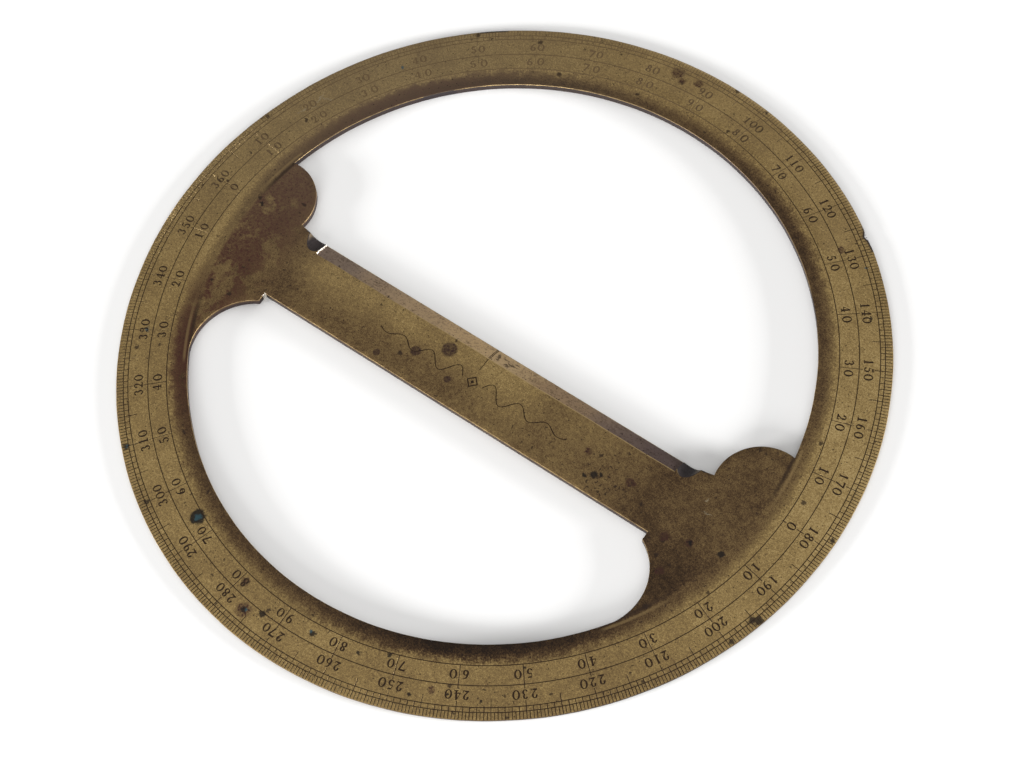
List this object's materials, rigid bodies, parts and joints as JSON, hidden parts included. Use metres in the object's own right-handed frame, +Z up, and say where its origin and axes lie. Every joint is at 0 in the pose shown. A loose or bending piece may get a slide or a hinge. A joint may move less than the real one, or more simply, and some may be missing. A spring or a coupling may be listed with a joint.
{
  "type": "circular protractor",
  "caption": "Full-circle brass protractor divided to half degrees, with a crossbar whose bevelled straight edge passes through the centre.",
  "frame": {"origin": "centre of the divided circle, on the flat underside", "axes": "+X along the bar towards the 180 mark, +Y in the plane of the ring towards the 90 mark, +Z up out of the engraved face"},
  "size_m": [0.2032, 0.2032, 0.0021],
  "materials": {
    "brass": "aged satin, unlacquered, with a brown patina",
    "wax_fill": "dull dark engraver's wax"
  },
  "bodies": {
    "root": {"plate": "brass", "half_degree_line_fill": "wax_fill", "degree_line_fill": "wax_fill", "five_degree_line_fill": "wax_fill", "ten_degree_line_fill": "wax_fill", "circle_line_fill": "wax_fill", "centre_mark_fill": "wax_fill", "flourish_fill": "wax_fill"}
  },
  "joints": []
}
